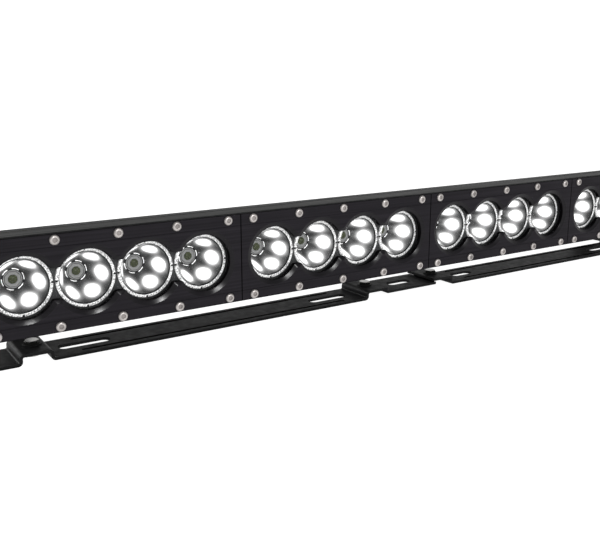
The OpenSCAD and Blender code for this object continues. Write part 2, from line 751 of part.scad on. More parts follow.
module foot(side) color("#2c2c2e") translate([side * foot_pad_x, y_face, 0]) difference() {
    union() {
        // leg under the pad, web behind the bar and the two ears
        block([-leg_half, strap_y + 8, pad_rise - leg_t], [leg_half, foot_back_y, pad_rise - 0.05]);
        block([-leg_half, foot_back_y - 3, pad_rise - leg_t], [leg_half, foot_back_y, web_top_z]);
        for (s = sides()) along_x(s > 0 ? leg_half - ear_t : -leg_half,
            s > 0 ? leg_half : -leg_half + ear_t) ear_outline();
    }
    translate([0, strap_y + strap_w / 2, 0]) cylinder(h = 20, r = bolt_hole_r);
    rod_x(-20, 20, pivot_y, row_z + pivot_dz, ear_bore_r);
}

module foot_left() foot(-1);
module foot_right() foot(1);

washer_half = leg_half + 1.6;
pivot_head_r = 7.5;

module pivot_bolt(side) color("#b4b6b8") translate([side * foot_pad_x, 0, 0]) {
    rod_x(-washer_half - 0.1, washer_half + 9.5, pivot_abs[0], pivot_abs[1], pivot_bolt_r);
    rod_x(-washer_half - 5.3, -washer_half, pivot_abs[0], pivot_abs[1], pivot_head_r, 6);
}

module pivot_bolt_left() pivot_bolt(-1);
module pivot_bolt_right() pivot_bolt(1);

module pivot_nut(side) color("#aeb0b2") translate([side * foot_pad_x, 0, 0]) difference() {
    union() {
        rod_x(washer_half, washer_half + 5.6, pivot_abs[0], pivot_abs[1], pivot_head_r, 6);
        rod_x(washer_half + 5.6, washer_half + 8, pivot_abs[0], pivot_abs[1], 5.6);
    }
    rod_x(washer_half - 1, washer_half + 12, pivot_abs[0], pivot_abs[1], pivot_bolt_r + 0.02);
}

module pivot_nut_left() pivot_nut(-1);
module pivot_nut_right() pivot_nut(1);

module pivot_washers() color("#8d8f91") for (fx = foot_xs, s = sides()) translate([fx, 0, 0])
    difference() {
        rod_x(s > 0 ? leg_half : -washer_half, s > 0 ? washer_half : -leg_half,
            pivot_abs[0], pivot_abs[1], 8);
        rod_x(-20, 20, pivot_abs[0], pivot_abs[1], pivot_bolt_r + 0.2);
    }

housing();
end_cap_left();
end_cap_right();
end_gasket_left();
end_gasket_right();
end_cap_screws();
bezel_1();
bezel_2();
bezel_3();
bezel_4();
bezel_gaskets();
bezel_screws();
lens_1();
lens_2();
lens_3();
lens_4();
reflectors_1();
reflectors_2();
reflectors_3();
reflectors_4();
optic_holder_1();
optic_holder_2();
optic_holder_3();
optic_holder_4();
led_board_1();
led_board_2();
led_board_3();
led_board_4();
led_emitters();
led_board_screws();
driver_board_left();
driver_board_right();
driver_components();
led_leads();
cable_gland();
gland_cap();
vent_plug();
mount_rail();
rail_screws();
rivet_nuts();
pivot_block_left();
pivot_block_right();
pivot_block_screws();
pivot_bush_left();
pivot_bush_right();
strap_left();
strap_right();
strap_joiner();
strap_bolts();
strap_washers();
clinch_nuts();
foot_left();
foot_right();
pivot_bolt_left();
pivot_bolt_right();
pivot_nut_left();
pivot_nut_right();
pivot_washers();
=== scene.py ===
"""Looks of the LED light bar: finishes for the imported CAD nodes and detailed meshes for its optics."""

import math

import bmesh
import bpy
from mathutils import Matrix, Vector


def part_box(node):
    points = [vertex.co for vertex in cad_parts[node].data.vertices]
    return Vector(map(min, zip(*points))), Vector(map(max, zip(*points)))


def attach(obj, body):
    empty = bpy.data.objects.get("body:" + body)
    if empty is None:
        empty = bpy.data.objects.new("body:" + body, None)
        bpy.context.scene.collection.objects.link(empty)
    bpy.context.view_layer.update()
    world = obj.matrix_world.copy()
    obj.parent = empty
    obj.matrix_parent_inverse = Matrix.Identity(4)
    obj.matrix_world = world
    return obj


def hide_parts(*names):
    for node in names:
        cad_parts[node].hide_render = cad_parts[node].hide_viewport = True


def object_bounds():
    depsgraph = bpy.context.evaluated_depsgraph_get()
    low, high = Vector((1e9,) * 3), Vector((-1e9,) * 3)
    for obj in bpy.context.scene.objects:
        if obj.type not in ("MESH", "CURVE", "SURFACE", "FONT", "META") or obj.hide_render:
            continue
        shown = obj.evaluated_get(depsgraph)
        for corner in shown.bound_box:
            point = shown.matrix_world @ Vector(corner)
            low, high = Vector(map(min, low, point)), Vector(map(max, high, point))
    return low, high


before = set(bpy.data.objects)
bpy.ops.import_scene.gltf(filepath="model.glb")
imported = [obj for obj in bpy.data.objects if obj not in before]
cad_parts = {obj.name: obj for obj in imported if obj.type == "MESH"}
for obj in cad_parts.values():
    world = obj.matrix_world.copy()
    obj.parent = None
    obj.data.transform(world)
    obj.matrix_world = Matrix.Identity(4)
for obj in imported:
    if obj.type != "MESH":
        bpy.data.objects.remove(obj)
cad_low, cad_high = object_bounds()

MM = 0.001
TINY = 0.001 * MM
MODULES = 4
LAMPS = 4
LAMP_PITCH = 46.2 * MM
TURN = 2 * math.pi

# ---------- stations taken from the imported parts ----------

face_low, face_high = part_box("bezel_1")
FACE_Y = face_low.y
BEZEL_BACK_Y = face_high.y
FACE_BOTTOM = face_low.z
FACE_TOP = face_high.z
optic_low, optic_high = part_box("reflectors_1")
ROW_Z = (optic_low.z + optic_high.z) / 2
RIM_R = (optic_high.z - optic_low.z) / 2
RIM_FRONT = optic_low.y - FACE_Y
CUP_BACK = optic_high.y - FACE_Y
BOARD_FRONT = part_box("led_board_1")[0].y - FACE_Y
bezel_boxes = [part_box(f"bezel_{m + 1}") for m in range(MODULES)]
MODULE_X = [(low.x + high.x) / 2 for low, high in bezel_boxes]
BEZEL_HALF = (face_high.x - face_low.x) / 2
LAMP_DX = [(k - (LAMPS - 1) / 2) * LAMP_PITCH for k in range(LAMPS)]
screw_low, screw_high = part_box("bezel_screws")
SCREW_HEAD_R = 3.7 * MM
SCREW_ROW = (screw_high.z - screw_low.z) / 2 - SCREW_HEAD_R
SCREW_MID = (screw_high.z + screw_low.z) / 2
SCREW_END = screw_high.x - SCREW_HEAD_R - MODULE_X[-1]
SCREW_DX = [-SCREW_END, -LAMP_PITCH, 0, LAMP_PITCH, SCREW_END]
SCREW_FRONT = screw_low.y - FACE_Y
SCREW_BACK = screw_high.y - FACE_Y


# ---------- small mesh helpers ----------


def mesh_object(name, bm, materials, smooth_angle=30):
    """Turns a bmesh into a linked object, shaded smooth up to an angle."""
    bmesh.ops.recalc_face_normals(bm, faces=bm.faces)
    mesh = bpy.data.meshes.new(name)
    bm.to_mesh(mesh)
    bm.free()
    for material in materials:
        mesh.materials.append(material)
    mesh.shade_smooth()
    mesh.set_sharp_from_angle(angle=math.radians(smooth_angle))
    obj = bpy.data.objects.new(name, mesh)
    bpy.context.scene.collection.objects.link(obj)
    return obj


def circle_points(radius, count, start=0.0):
    """Points (x, z) round the origin."""
    return [
        (radius * math.cos(start + TURN * i / count), radius * math.sin(start + TURN * i / count))
        for i in range(count)
    ]


def add_loop(bm, points, y, at=(0.0, 0.0)):
    """Adds a loop of vertices from (x, z) points at one depth."""
    return [bm.verts.new((at[0] + x, y, at[1] + z)) for x, z in points]


def bridge(bm, a, b, slot=0):
    """Joins two closed loops of the same length with quads."""
    faces = []
    for i in range(len(a)):
        j = (i + 1) % len(a)
        face = bm.faces.new((a[i], a[j], b[j], b[i]))
        face.material_index = slot
        faces.append(face)
    return faces


def loop_edges(bm, loop):
    """The edges round a closed loop of vertices, made where they are missing."""
    edges = []
    for i, vert in enumerate(loop):
        other = loop[(i + 1) % len(loop)]
        edges.append(bm.edges.get((vert, other)) or bm.edges.new((vert, other)))
    return edges


def fill_flat(bm, loops, normal, slot=0):
    """Fills the flat region between an outer loop and its holes with triangles."""
    edges = [e for loop in loops for e in loop_edges(bm, loop)]
    made = bmesh.ops.triangle_fill(bm, use_beauty=True, edges=edges, normal=normal)
    for item in made["geom"]:
        if isinstance(item, bmesh.types.BMFace):
            item.material_index = slot


def ride_and_slot(obj, body, slot, *nodes):
    """Puts a finished piece on its body and hides the CAD nodes it stands for. The slot argument is not used.
    """
    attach(obj, body)
    if nodes:
        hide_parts(*nodes)
    return obj


# ---------- material helpers ----------

RANGE_SOCKETS = ("From Min", "From Max", "To Min", "To Max")


class Shader:
    """A material being built: nodes are added by type and joined by socket."""

    def __init__(self, name, color=(0.5, 0.5, 0.5), roughness=0.5, metallic=0.0):
        self.material = bpy.data.materials.new(name)
        self.material.use_nodes = True
        self.tree = self.material.node_tree
        self.bsdf = self.tree.nodes["Principled BSDF"]
        self.set("Base Color", (*color, 1.0))
        self.set("Roughness", roughness)
        self.set("Metallic", metallic)
        self.coords = self.node("ShaderNodeTexCoord").outputs["Object"]

    def node(self, kind, **settings):
        made = self.tree.nodes.new(kind)
        for key, value in settings.items():
            setattr(made, key, value)
        return made

    def set(self, socket, value):
        self.bsdf.inputs[socket].default_value = value

    def link(self, source, target):
        self.tree.links.new(source, target)

    def feed(self, socket, source):
        self.link(source, self.bsdf.inputs[socket])

    def math(self, operation, a, b=None, c=None, clamp=False):
        made = self.node("ShaderNodeMath", operation=operation, use_clamp=clamp)
        for index, value in enumerate((a, b, c)):
            if value is None:
                continue
            if isinstance(value, (int, float)):
                made.inputs[index].default_value = value
            else:
                self.link(value, made.inputs[index])
        return made.outputs[0]

    def axes(self, vector=None):
        """The x, y and z of a vector, by default of the object coordinates."""
        made = self.node("ShaderNodeSeparateXYZ")
        self.link(vector or self.coords, made.inputs[0])
        return made.outputs[0], made.outputs[1], made.outputs[2]

    def stretched(self, scale):
        """Object coordinates multiplied by a factor along each axis."""
        made = self.node("ShaderNodeMapping")
        self.link(self.coords, made.inputs["Vector"])
        made.inputs["Scale"].default_value = scale
        return made.outputs["Vector"]

    def noise(self, scale, detail=4.0, rough=0.55, vector=None):
        made = self.node("ShaderNodeTexNoise")
        self.link(vector or self.coords, made.inputs["Vector"])
        made.inputs["Scale"].default_value = scale
        made.inputs["Detail"].default_value = detail
        made.inputs["Roughness"].default_value = rough
        return made.outputs["Fac"]

    def cells(self, scale):
        made = self.node("ShaderNodeTexVoronoi")
        self.link(self.coords, made.inputs["Vector"])
        made.inputs["Scale"].default_value = scale
        return made.outputs["Distance"]

    def spread(self, source, low, high, to_low, to_high):
        """Maps a value from one range to another, held at the ends."""
        made = self.node("ShaderNodeMapRange")
        self.link(source, made.inputs["Value"])
        for socket, value in zip(RANGE_SOCKETS, (low, high, to_low, to_high)):
            made.inputs[socket].default_value = value
        return made.outputs["Result"]

    def mix(self, factor, a, b):
        """Mixes two colours, each a socket or a triple."""
        made = self.node("ShaderNodeMix", data_type="RGBA")
        self.link(factor, made.inputs[0])
        for socket, value in ((made.inputs[6], a), (made.inputs[7], b)):
            if isinstance(value, tuple):
                socket.default_value = (*value, 1.0)
            else:
                self.link(value, socket)
        return made.outputs[2]

    def bump(self, height, strength, distance):
        made = self.node("ShaderNodeBump")
        self.link(height, made.inputs["Height"])
        made.inputs["Strength"].default_value = strength
        made.inputs["Distance"].default_value = distance
        self.feed("Normal", made.outputs["Normal"])

    def open_sky(self, reach):
        """1 on open surfaces, 0 in hollows narrower than the reach."""
        hollow = self.node("ShaderNodeAmbientOcclusion", samples=8)
        hollow.inputs["Distance"].default_value = reach
        return self.spread(hollow.outputs["AO"], 0.5, 0.85, 0.0, 1.0)

    def edge_wear(self, radius):
        """1 along sharp edges, 0 on flats: how far a rounded normal leans from the true one."""
        rounded = self.node("ShaderNodeBevel", samples=4)
        rounded.inputs["Radius"].default_value = radius
        geometry = self.node("ShaderNodeNewGeometry")
        dot = self.node("ShaderNodeVectorMath", operation="DOT_PRODUCT")
        self.link(rounded.outputs["Normal"], dot.inputs[0])
        self.link(geometry.outputs["Normal"], dot.inputs[1])
        return self.spread(dot.outputs["Value"], 0.97, 0.75, 0.0, 1.0)


def powder_coat(name, color, roughness, grain, specular, wear_color=None):
    """Fine orange-peel coating. One with a wear colour is also worn at edges, and black in hollows as painted
    shade.
    """
    s = Shader(name, color, roughness)
    s.set("Specular IOR Level", specular)
    tone = s.noise(55, 5)
    light = tuple(min(1.0, c * 1.35 + 0.001) for c in color)
    dark = tuple(c * 0.75 for c in color)
    shade = s.mix(tone, dark, light)
    if wear_color:
        patchy = s.math("MULTIPLY", s.edge_wear(0.5 * MM), s.spread(s.noise(240, 3), 0.4, 0.65, 0.0, 1.0))
        shade = s.mix(patchy, shade, wear_color)
        # painted shade: hollows narrower than 4 mm are turned black
        shade = s.mix(s.open_sky(4 * MM), (0.0005, 0.0005, 0.0005), shade)
    s.feed("Base Color", shade)
    s.feed("Roughness", s.spread(s.noise(160, 3), 0.3, 0.7, roughness - 0.07, roughness + 0.09))
    s.bump(s.noise(grain, 3), 0.25, 0.05 * MM)
    return s.material


def face_finish(name, roughness, specular, depth):
    """Black coating with faint lines along the bar and a trace of purple, paler with more depth; a low depth
    gives a darker copy that paints shade.
    """
    s = Shader(name, (0.017, 0.0155, 0.0185), roughness)
    s.set("Specular IOR Level", specular)
    streaks = s.noise(700, 3, 0.6, s.stretched((0.01, 1, 1)))
    cloud = s.noise(30, 4)
    tone = s.math("MULTIPLY", s.spread(streaks, 0.3, 0.7, 0.0, 1.0), s.spread(cloud, 0.3, 0.7, 0.55, 1.0))
    dark = tuple(depth * c for c in (0.0125, 0.0115, 0.0135))
    light = tuple(depth * c for c in (0.0235, 0.0212, 0.0255))
    s.feed("Base Color", s.mix(tone, dark, light))
    s.feed("Roughness", s.spread(s.noise(130, 3), 0.3, 0.7, roughness - 0.05, roughness + 0.05))
    s.bump(s.noise(1500, 2), 0.08, 0.03 * MM)
    return s.material


def anodised(name, color, roughness):
    """Drawn aluminium: faint lines along the bar under a dark anodised film, with painted shade turning its
    grooves black.
    """
    s = Shader(name, color, roughness)
    s.set("Specular IOR Level", 0.045)
    lines = s.noise(900, 3, 0.6, s.stretched((0.012, 1, 1)))
    cloud = s.noise(18, 4)
    light = tuple(c * 1.35 for c in color)
    dark = tuple(c * 0.8 for c in color)
    shade = s.mix(s.math("MULTIPLY", lines, s.spread(cloud, 0.3, 0.7, 0.7, 1.2)), dark, light)
    # painted shade: hollows narrower than 5 mm are turned black
    s.feed("Base Color", s.mix(s.open_sky(5 * MM), (0.0005, 0.0005, 0.0005), shade))
    s.feed("Roughness", s.spread(lines, 0.3, 0.7, roughness - 0.08, roughness + 0.1))
    s.bump(lines, 0.15, 0.04 * MM)
    return s.material


def machined_steel(name, color, roughness, metallic=0.9):
    """Plated or stainless fasteners with a fine scratch grain."""
    s = Shader(name, color, roughness, metallic)
    grain = s.noise(1400, 4)
    dirt = s.noise(170, 3)
    dark = tuple(c * 0.72 for c in color)
    s.feed("Base Color", s.mix(s.spread(dirt, 0.35, 0.65, 0.0, 1.0), dark, color))
    s.feed("Roughness", s.spread(grain, 0.3, 0.7, roughness - 0.1, roughness + 0.16))
    s.bump(grain, 0.2, 0.03 * MM)
    return s.material


def top_lit_bolt():
    """Bolt with painted light and shade: pale on its upward-facing top, near black on its sides."""
    s = Shader("top_lit_bolt", (0.7, 0.69, 0.67), 0.4, 0.8)
    geometry = s.node("ShaderNodeNewGeometry")
    _, _, upward = s.axes(geometry.outputs["Normal"])
    grain = s.noise(1100, 4)
    # painted light: faces that point up get the pale colour, the rest the near-black painted shade
    top = s.math("MULTIPLY", s.spread(upward, 0.75, 0.97, 0.0, 1.0), s.spread(grain, 0.25, 0.6, 0.75, 1.0))
    s.feed("Base Color", s.mix(top, (0.012, 0.012, 0.011), (0.95, 0.94, 0.92)))
    s.feed("Roughness", s.spread(top, 0.0, 1.0, 0.55, 0.35))
    s.set("Specular IOR Level", 0.15)
    s.bump(grain, 0.2, 0.03 * MM)
    return s.material


def painted_reflection_cup():
    """Vacuum-metallised cup with painted reflections: six soft bright petal shapes that fade into dark grey
    metal, held in its colour and made to glow.
    """
    s = Shader("cup_painted_reflections", (0.3, 0.3, 0.3), 0.2, 0.35)
    x, y, z = s.axes()
    sixth = TURN / 6
    petal_width = math.radians(13.2)
    petal_twist = math.radians(1.5)
    petal_depth = 19.5 * MM
    petal_reach = 4.2 * MM
    brightness = 2.4
    contrast = 2.2
    turned = s.math("ADD", s.math("ARCTAN2", z, x), petal_twist + TURN)
    off_petal = s.math("PINGPONG", turned, sixth / 2)
    near = s.math("DIVIDE", off_petal, petal_width)
    far = s.math("DIVIDE", s.math("SUBTRACT", sixth, off_petal), petal_width)
    depth = s.math("DIVIDE", s.math("SUBTRACT", y, petal_depth), petal_reach)

    def bell(distance):
        return s.math("EXPONENT", s.math("MULTIPLY", s.math("MULTIPLY", distance, distance), -0.5))

    # painted reflections: bright bells at six angles round the axis, near one depth of the cup
    painted_reflections = s.math("MULTIPLY", s.math("ADD", bell(near), bell(far)), bell(depth))
    streaks = s.noise(500, 3, 0.6, s.stretched((1, 0.15, 1)))
    grey = s.spread(streaks, 0.2, 0.8, 0.13, 0.19)
    level = s.math("MULTIPLY_ADD", painted_reflections, brightness, grey, clamp=True)
    light = s.math("POWER", level, contrast)
    color = s.mix(light, (0.0, 0.0, 0.0), (1.0, 1.0, 1.0))
    s.feed("Base Color", color)
    # the same colour glows with emission, a painted glow that keeps the reflections white under any light
    s.feed("Emission Color", color)
    s.set("Emission Strength", 0.7)
    s.feed("Roughness", s.spread(light, 0.0, 1.0, 0.16, 0.45))
    return s.material


def rim_metal_glow():
    """Bright knurled rim of a reflector: white metal broken by small grey pits, made to glow with emission as
    painted light.
    """
    s = Shader("rim_metal_glow", (0.9, 0.9, 0.9), 0.4, 0.2)
    pits = s.cells(1350)
    blotch = s.noise(1000, 3)
    spots = s.math("MULTIPLY", s.spread(pits, 0.14, 0.42, 0.0, 1.0), s.spread(blotch, 0.4, 0.54, 0.2, 1.0))
    color = s.mix(spots, (0.1, 0.1, 0.1), (1.0, 1.0, 1.0))
    s.feed("Base Color", color)
    # painted light: the rim's colour also glows with emission
    s.feed("Emission Color", color)
    s.set("Emission Strength", 0.35)
    s.feed("Roughness", s.spread(blotch, 0.3, 0.7, 0.32, 0.5))
    s.bump(pits, 0.3, 0.1 * MM)
    return s.material


def lip_painted_highlight():
    """Painted highlight on the edge of the hole at the bottom of a cup: its colour glows with emission."""
    s = Shader("lip_painted_highlight", (0.9, 0.9, 0.9), 0.3, 0.3)
    sparkle = s.spread(s.noise(700, 3), 0.35, 0.6, 0.55, 1.0)
    color = s.mix(sparkle, (0.0, 0.0, 0.0), (1.0, 1.0, 1.0))
    s.feed("Base Color", color)
    # painted highlight: the colour glows strongly with emission
    s.feed("Emission Color", color)
    s.set("Emission Strength", 2.0)
    return s.material


def plain_noise(name, dark, light, roughness, scale=200, metallic=0.0, bump=0.15, specular=0.5):
    """Moulded or mineral surface: two close tones and a fine grain."""
    s = Shader(name, light, roughness, metallic)
    s.set("Specular IOR Level", specular)
    tone = s.noise(scale, 4)
    s.feed("Base Color", s.mix(s.spread(tone, 0.3, 0.7, 0.0, 1.0), dark, light))
    s.feed("Roughness", s.spread(tone, 0.3, 0.7, roughness - 0.06, roughness + 0.06))
    s.bump(s.noise(scale * 5, 3), bump, 0.05 * MM)
    return s.material


def phosphor():
    """Die array under a clear dome: a dark olive grid with paler cells."""
    s = Shader("emitter_phosphor", (0.03, 0.035, 0.01), 0.3)
    s.set("Specular IOR Level", 0.2)
    grid = s.node("ShaderNodeTexChecker")
    s.link(s.coords, grid.inputs["Vector"])
    grid.inputs["Scale"].default_value = 1400
    flecks = s.noise(900, 2)
    cell = s.math("MULTIPLY", grid.outputs["Fac"], s.spread(flecks, 0.35, 0.6, 0.2, 1.0))
    s.feed("Base Color", s.mix(cell, (0.018, 0.022, 0.008), (0.07, 0.085, 0.03)))
    s.bump(flecks, 0.2, 0.05 * MM)
    return s.material


def clear_lens():
    """Thin polycarbonate: see-through, with a weak gloss."""
    s = Shader("lens_clear", (0.25, 0.26, 0.27), 0.04)
    s.set("Alpha", 0.03)
    s.set("IOR", 1.4)
    haze = s.noise(60, 3)
    s.feed("Roughness", s.spread(haze, 0.3, 0.7, 0.03, 0.07))
    return s.material


def circuit_board(name, mask, metal):
    """Solder mask with a fine pattern of traces."""
    s = Shader(name, mask, 0.4)
    s.set("Specular IOR Level", 0.15)
    trace = s.node("ShaderNodeTexBrick")
    s.link(s.coords, trace.inputs["Vector"])
    trace.inputs["Scale"].default_value = 160
    trace.inputs["Mortar Size"].default_value = 0.012
    trace.inputs["Color1"].default_value = (0, 0, 0, 1)
    trace.inputs["Color2"].default_value = (0, 0, 0, 1)
    trace.inputs["Mortar"].default_value = (1, 1, 1, 1)
    s.feed("Base Color", s.mix(trace.outputs["Color"], mask, metal))
    s.feed("Roughness", s.spread(s.noise(90, 3), 0.3, 0.7, 0.32, 0.5))
    return s.material


FACE = face_finish("face_coat", 0.4, 0.03, 0.9)
# half-bright, glossier copy of the face coat: painted shade on the chamfers, with a glossier finish of their
# own
CHAMFER = face_finish("chamfer_coat", 0.2, 0.14, 0.5)
# darkest copy of the face coat: painted shade on the plate's edges and on the opening walls behind the
# chamfers
EDGE_SHADE = face_finish("edge_shade_coat", 0.5, 0.01, 0.15)
HOUSING = anodised("housing_film", (0.01, 0.0103, 0.0098), 0.42)
CAP = powder_coat("end_cap_coat", (0.009, 0.009, 0.0095), 0.5, 1300, 0.25)
COAT_WEAR = (0.03, 0.03, 0.031)
STRAP = powder_coat("strap_coat", (0.0075, 0.0075, 0.0078), 0.45, 1700, 0.05, COAT_WEAR)
FOOT = powder_coat("foot_coat", (0.0075, 0.0075, 0.008), 0.45, 1700, 0.1, COAT_WEAR)
STEEL = machined_steel("fastener_steel", (0.56, 0.54, 0.53), 0.34)
ZINC = machined_steel("zinc_steel", (0.75, 0.74, 0.72), 0.35, 0.5)
BOLT = top_lit_bolt()
BLACK_STEEL = plain_noise("black_steel", (0.006, 0.006, 0.006), (0.011, 0.011, 0.011), 0.5, 400, specular=0.1)
SCREW_STEEL = machined_steel("screw_steel", (0.5, 0.47, 0.455), 0.42)
# darker copy of the screw steel for the hex sockets: painted shade in the recess
SOCKET_SHADE_STEEL = machined_steel("socket_shade_steel", (0.31, 0.285, 0.275), 0.5)
CUP = painted_reflection_cup()
RIM = rim_metal_glow()
LIP = lip_painted_highlight()
# near-black painted shade for the joint between rim and cup, the rim pits and the emitter grooves
SHADOW_LINE = plain_noise("rim_joint_shadow", (0.002, 0.002, 0.002), (0.005, 0.005, 0.005), 0.7, 300, specular=0.1)
STAR = plain_noise("star_base", (0.19, 0.192, 0.19), (0.27, 0.273, 0.27), 0.45, 900, specular=0.2)
CHIP = phosphor()
HOLDER = plain_noise("optic_holder_plastic", (0.006, 0.006, 0.0065), (0.011, 0.011, 0.012), 0.6, 260)
GASKET = plain_noise("gasket_rubber", (0.003, 0.003, 0.003), (0.006, 0.006, 0.006), 0.8, 500, specular=0.1)
PLASTIC = plain_noise("gland_plastic", (0.009, 0.009, 0.0095), (0.015, 0.015, 0.016), 0.5, 320)
BRONZE = plain_noise("bush_bronze", (0.34, 0.22, 0.09), (0.5, 0.35, 0.16), 0.4, 700, 1.0)
LENS = clear_lens()
LED_BOARD = circuit_board("led_board_mask", (0.003, 0.003, 0.0032), (0.008, 0.008, 0.0085))
DRIVER_BOARD = circuit_board("driver_mask", (0.012, 0.07, 0.02), (0.05, 0.16, 0.06))
PARTS = plain_noise("component_bodies", (0.02, 0.02, 0.024), (0.06, 0.06, 0.07), 0.35, 260)
LEADS = plain_noise("lead_insulation", (0.32, 0.02, 0.018), (0.45, 0.035, 0.03), 0.4, 300)

# ---------- CAD nodes kept as they are, with a finish and softened edges ----------

KEPT = {
    "housing": (HOUSING, 0.25),
    "end_cap_left": (CAP, 0.5),
    "end_cap_right": (CAP, 0.5),
    "mount_rail": (HOUSING, 0.3),
    "pivot_block_left": (HOUSING, 0.5),
    "pivot_block_right": (HOUSING, 0.5),
    "strap_left": (STRAP, 0.3),
    "strap_right": (STRAP, 0.3),
    "strap_joiner": (STRAP, 0.3),
    "foot_left": (FOOT, 0.35),
    "foot_right": (FOOT, 0.35),
    "strap_bolts": (BOLT, 0.2),
    "strap_washers": (BLACK_STEEL, 0.15),
    "clinch_nuts": (ZINC, 0.2),
    "pivot_bolt_left": (ZINC, 0.3),
    "pivot_bolt_right": (ZINC, 0.3),
    "pivot_nut_left": (ZINC, 0.3),
    "pivot_nut_right": (ZINC, 0.3),
    "pivot_washers": (ZINC, 0.2),
    "pivot_block_screws": (STEEL, 0.2),
    "pivot_bush_left": (BRONZE, 0.0),
    "pivot_bush_right": (BRONZE, 0.0),
    "rail_screws": (STEEL, 0.0),
    "rivet_nuts": (STEEL, 0.0),
    "end_cap_screws": (BLACK_STEEL, 0.2),
    "end_gasket_left": (GASKET, 0.0),
    "end_gasket_right": (GASKET, 0.0),
    "bezel_gaskets": (GASKET, 0.0),
    "led_board_screws": (STEEL, 0.0),
    "driver_board_left": (DRIVER_BOARD, 0.0),
    "driver_board_right": (DRIVER_BOARD, 0.0),
    "driver_components": (PARTS, 0.0),
    "led_leads": (LEADS, 0.0),
    "cable_gland": (PLASTIC, 0.3),
    "gland_cap": (PLASTIC, 0.4),
    "vent_plug": (PLASTIC, 0.4),
}
for number in range(1, MODULES + 1):
    KEPT[f"lens_{number}"] = (LENS, 0.0)
    KEPT[f"optic_holder_{number}"] = (HOLDER, 0.0)
    KEPT[f"led_board_{number}"] = (LED_BOARD, 0.0)


def soften(obj, width):
    """Welds the split vertices of a CAD mesh and rounds its sharp edges a little."""
    weld = obj.modifiers.new("weld", "WELD")
    weld.merge_threshold = 0.002 * MM
    rounding = obj.modifiers.new("rounding", "BEVEL")
    rounding.width = width * MM
    rounding.segments = 2
    rounding.limit_method = "ANGLE"
    rounding.angle_limit = math.radians(40)
    rounding.use_clamp_overlap = True
    rounding.harden_normals = True


for node_name, (finish, edge) in KEPT.items():
    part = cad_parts[node_name]
    part.data.materials.clear()
    part.data.materials.append(finish)
    if edge > 0:
        soften(part, edge)

# ---------- face plates ----------

ARC_STEPS = 30
END_ARC_STEPS = 64
CORNER_STEPS = 5
CORNER = 1.4 * MM
RECESS_STEPS = 28
OPENING_FRONT_R = 26.2 * MM
OPENING_R = 22.6 * MM
NECK_FRONT = 14.5 * MM
NECK_BACK = 11.5 * MM
NECK_CORNER_SHARE = 0.45
LINE_Z = 27 * MM
LINE_HALF = 0.3 * MM
LINE_DEPTH = 0.3


def rounded_corner(before, corner, after):
    """Points of a soft corner between two points, the last one left out."""
    points = []
    for i in range(CORNER_STEPS):
        t = i / CORNER_STEPS
        weights = ((1 - t) ** 2, 2 * t * (1 - t), t * t)
        points.append(
            tuple(sum(w * p[axis] for w, p in zip(weights, (before, corner, after))) for axis in (0, 1))
        )
    return points


def opening_outline(share):
    """Outline (x, z) of the four lamp openings and the flat necks that join them.

    share runs from 0 at the front of the chamfer to 1 at the straight wall behind it.
    """
    radius = OPENING_FRONT_R + (OPENING_R - OPENING_FRONT_R) * share
    neck = NECK_FRONT + (NECK_BACK - NECK_FRONT) * share
    meet = math.asin(neck / radius)
    arcs = [(LAMPS - 1, meet - math.pi, math.pi - meet, END_ARC_STEPS)]
    arcs += [(k, meet, math.pi - meet, ARC_STEPS) for k in range(LAMPS - 2, 0, -1)]
    arcs += [(0, meet, TURN - meet, END_ARC_STEPS)]
    arcs += [(k, math.pi + meet, TURN - meet, ARC_STEPS) for k in range(1, LAMPS - 1)]
    trim = CORNER / radius

    def on_arc(k, angle):
        return (LAMP_DX[k] + radius * math.cos(angle), radius * math.sin(angle))

    points = []
    for number, (k, start, stop, steps) in enumerate(arcs):
        for i in range(steps):
            points.append(on_arc(k, start + trim + (stop - start - 2 * trim) * i / steps))
        next_k, next_start, _, _ = arcs[(number + 1) % len(arcs)]
        leave, arrive = on_arc(k, stop), on_arc(next_k, next_start)
        flat = arrive[0] - leave[0]
        cut = math.copysign(min(CORNER, abs(flat) * NECK_CORNER_SHARE), flat)
        points += rounded_corner(on_arc(k, stop - trim), leave, (leave[0] + cut, leave[1]))
        points += rounded_corner((arrive[0] - cut, arrive[1]), arrive, on_arc(next_k, next_start + trim))
    return points


def plate_outline(inset):
    """Outline (x, z) of a face plate about the lamp row, with the ends of its two fine lines."""
    x = BEZEL_HALF - inset
    low = FACE_BOTTOM - ROW_Z + inset
    high = FACE_TOP - ROW_Z - inset
    rises = [side * LINE_Z + step * LINE_HALF for side in (-1, 1) for step in (-1, 0, 1)]
    right = [low, *rises, high]
    return [(x, z) for z in right] + [(-x, z) for z in reversed(right)]


